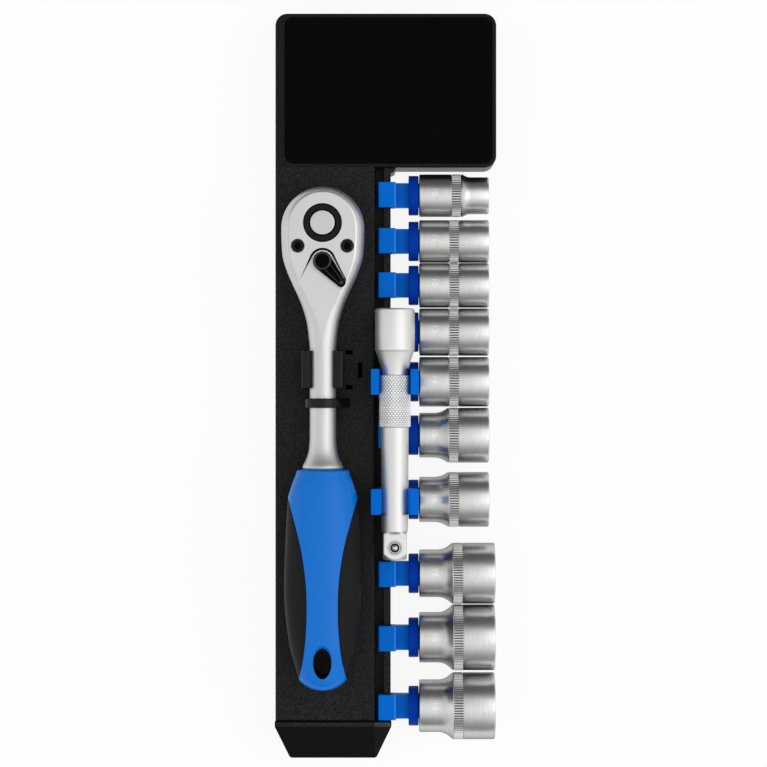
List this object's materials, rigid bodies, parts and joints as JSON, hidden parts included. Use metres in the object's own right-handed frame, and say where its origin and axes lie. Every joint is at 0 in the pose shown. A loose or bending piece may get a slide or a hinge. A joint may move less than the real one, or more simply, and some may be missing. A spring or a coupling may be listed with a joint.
{
  "type": "socket wrench set",
  "caption": "Socket set on a moulded storage rail: hexagon sockets on sliding clips, an extension bar in snap clips and a reversible ratchet held by jaws and a strap.",
  "frame": {"origin": "under the middle of the whole set, on the plane that goes against the wall", "axes": "+X from the ratchet towards the sockets, +Y along the rail towards the header panel, +Z out of the rail's face"},
  "size_m": [0.0892, 0.3, 0.0432],
  "materials": {
    "rail_plastic": "fine grained moulding",
    "label_film": "smooth satin",
    "cap_plastic": "fine grained moulding",
    "jaw_plastic": "moulded",
    "strap_plastic": "moulded",
    "clip_blue": "moulded, half gloss",
    "socket_steel": "satin chrome plate",
    "bar_steel": "satin chrome plate, knurled grip",
    "ratchet_steel": "satin chrome plate",
    "hub_black": "blackened steel",
    "screw_black": "blackened steel",
    "lever_black": "black coating",
    "button_steel": "satin chrome plate",
    "inner_steel": "bright steel",
    "handle_blue": "half gloss",
    "grip_rubber": "soft touch, matt"
  },
  "bodies": {
    "rail": {"rail_body": "rail_plastic", "header_label": "label_film", "end_cap": "cap_plastic", "ratchet_clip": "jaw_plastic", "clip_11": "clip_blue", "clip_12": "clip_blue", "clip_13": "clip_blue", "clip_14": "clip_blue", "upper_bar_clip": "clip_blue"},
    "carrier_10": {"clip_10": "clip_blue"},
    "carrier_15": {"clip_15": "clip_blue"},
    "carrier_16": {"clip_16": "clip_blue", "lower_bar_clip": "clip_blue"},
    "carrier_17": {"clip_17": "clip_blue"},
    "carrier_18": {"clip_18": "clip_blue"},
    "carrier_19": {"clip_19": "clip_blue"},
    "loose_socket_10": {"socket_10": "socket_steel"},
    "loose_socket_11": {"socket_11": "socket_steel"},
    "loose_socket_12": {"socket_12": "socket_steel"},
    "loose_socket_13": {"socket_13": "socket_steel"},
    "loose_socket_14": {"socket_14": "socket_steel"},
    "loose_socket_15": {"socket_15": "socket_steel"},
    "loose_socket_16": {"socket_16": "socket_steel"},
    "loose_socket_17": {"socket_17": "socket_steel"},
    "loose_socket_18": {"socket_18": "socket_steel"},
    "loose_socket_19": {"socket_19": "socket_steel"},
    "extension": {"extension_bar": "bar_steel", "extension_ball": "inner_steel", "extension_spring": "inner_steel"},
    "ratchet": {"ratchet_body": "ratchet_steel", "back_cover": "ratchet_steel", "cover_screws": "screw_black", "handle_core": "handle_blue", "left_grip": "grip_rubber", "right_grip": "grip_rubber"},
    "gear": {"drive_gear": "hub_black", "tang_ball": "inner_steel", "button_spring": "inner_steel"},
    "pawl_body": {"pawl": "inner_steel"},
    "lever": {"reverse_lever": "lever_black", "lever_ball": "inner_steel", "lever_spring": "inner_steel"},
    "button": {"release_button": "button_steel"},
    "strap": {"retaining_strap": "strap_plastic"}
  },
  "joints": [
    {"name": "clip_10_slide", "type": "slide", "parent": "rail", "child": "carrier_10", "axis": [0, 1, 0], "range_m": [-0.0011, 0.002]},
    {"name": "clip_15_slide", "type": "slide", "parent": "rail", "child": "carrier_15", "axis": [0, 1, 0], "range_m": [-0.0017, 0]},
    {"name": "clip_16_slide", "type": "slide", "parent": "rail", "child": "carrier_16", "axis": [0, 1, 0], "range_m": [-0.0031, 0.0017]},
    {"name": "clip_17_slide", "type": "slide", "parent": "rail", "child": "carrier_17", "axis": [0, 1, 0], "range_m": [0, 0.0032]},
    {"name": "clip_18_slide", "type": "slide", "parent": "rail", "child": "carrier_18", "axis": [0, 1, 0], "range_m": [-0.00045, 0]},
    {"name": "clip_19_slide", "type": "slide", "parent": "rail", "child": "carrier_19", "axis": [0, 1, 0], "range_m": [0, 0.00045]},
    {"name": "socket_10_pull", "type": "slide", "parent": "carrier_10", "child": "loose_socket_10", "axis": [1, 0, 0], "range_m": [0, 0.04]},
    {"name": "socket_11_pull", "type": "slide", "parent": "rail", "child": "loose_socket_11", "axis": [1, 0, 0], "range_m": [0, 0.04]},
    {"name": "socket_12_pull", "type": "slide", "parent": "rail", "child": "loose_socket_12", "axis": [1, 0, 0], "range_m": [0, 0.04]},
    {"name": "socket_13_pull", "type": "slide", "parent": "rail", "child": "loose_socket_13", "axis": [1, 0, 0], "range_m": [0, 0.04]},
    {"name": "socket_14_pull", "type": "slide", "parent": "rail", "child": "loose_socket_14", "axis": [1, 0, 0], "range_m": [0, 0.04]},
    {"name": "socket_15_pull", "type": "slide", "parent": "carrier_15", "child": "loose_socket_15", "axis": [1, 0, 0], "range_m": [0, 0.04]},
    {"name": "socket_16_pull", "type": "slide", "parent": "carrier_16", "child": "loose_socket_16", "axis": [1, 0, 0], "range_m": [0, 0.04]},
    {"name": "socket_17_pull", "type": "slide", "parent": "carrier_17", "child": "loose_socket_17", "axis": [1, 0, 0], "range_m": [0, 0.04]},
    {"name": "socket_18_pull", "type": "slide", "parent": "carrier_18", "child": "loose_socket_18", "axis": [1, 0, 0], "range_m": [0, 0.04]},
    {"name": "socket_19_pull", "type": "slide", "parent": "carrier_19", "child": "loose_socket_19", "axis": [1, 0, 0], "range_m": [0, 0.04]},
    {"name": "extension_lift", "type": "slide", "parent": "rail", "child": "extension", "axis": [0, 0, 1], "range_m": [0, 0.045], "deforming": ["upper_bar_clip", "lower_bar_clip"]},
    {"name": "ratchet_lift", "type": "slide", "parent": "rail", "child": "ratchet", "axis": [0, 0, 1], "range_m": [0, 0.06], "deforming": ["ratchet_clip"]},
    {"name": "strap_lift", "type": "slide", "parent": "rail", "child": "strap", "axis": [0, 0, 1], "range_m": [0, 0.06]},
    {"name": "gear_turn", "type": "hinge", "parent": "ratchet", "child": "gear", "pos_m": [-0.0249, 0.0646, 0.032], "axis": [0, 0, 1], "continuous": true},
    {"name": "lever_turn", "type": "hinge", "parent": "ratchet", "child": "lever", "pos_m": [-0.0249, 0.0494, 0.0385], "axis": [0, 0, 1], "range_deg": [-82, 0]},
    {"name": "pawl_swing", "type": "hinge", "parent": "ratchet", "child": "pawl_body", "pos_m": [-0.0249, 0.0646, 0.032], "axis": [0, 0, 1], "range_deg": [0, 16.01]},
    {"name": "button_press", "type": "slide", "parent": "gear", "child": "button", "axis": [0, 0, -1], "range_m": [0, 0.0025], "stiffness_N_per_m": 500, "springref_m": -0.002, "deforming": ["button_spring"]}
  ],
  "couplings": [
    {"joint": "pawl_swing", "follows": "lever_turn", "ratio": -0.19512},
    {"joint": "strap_lift", "follows": "ratchet_lift", "ratio": 1}
  ]
}
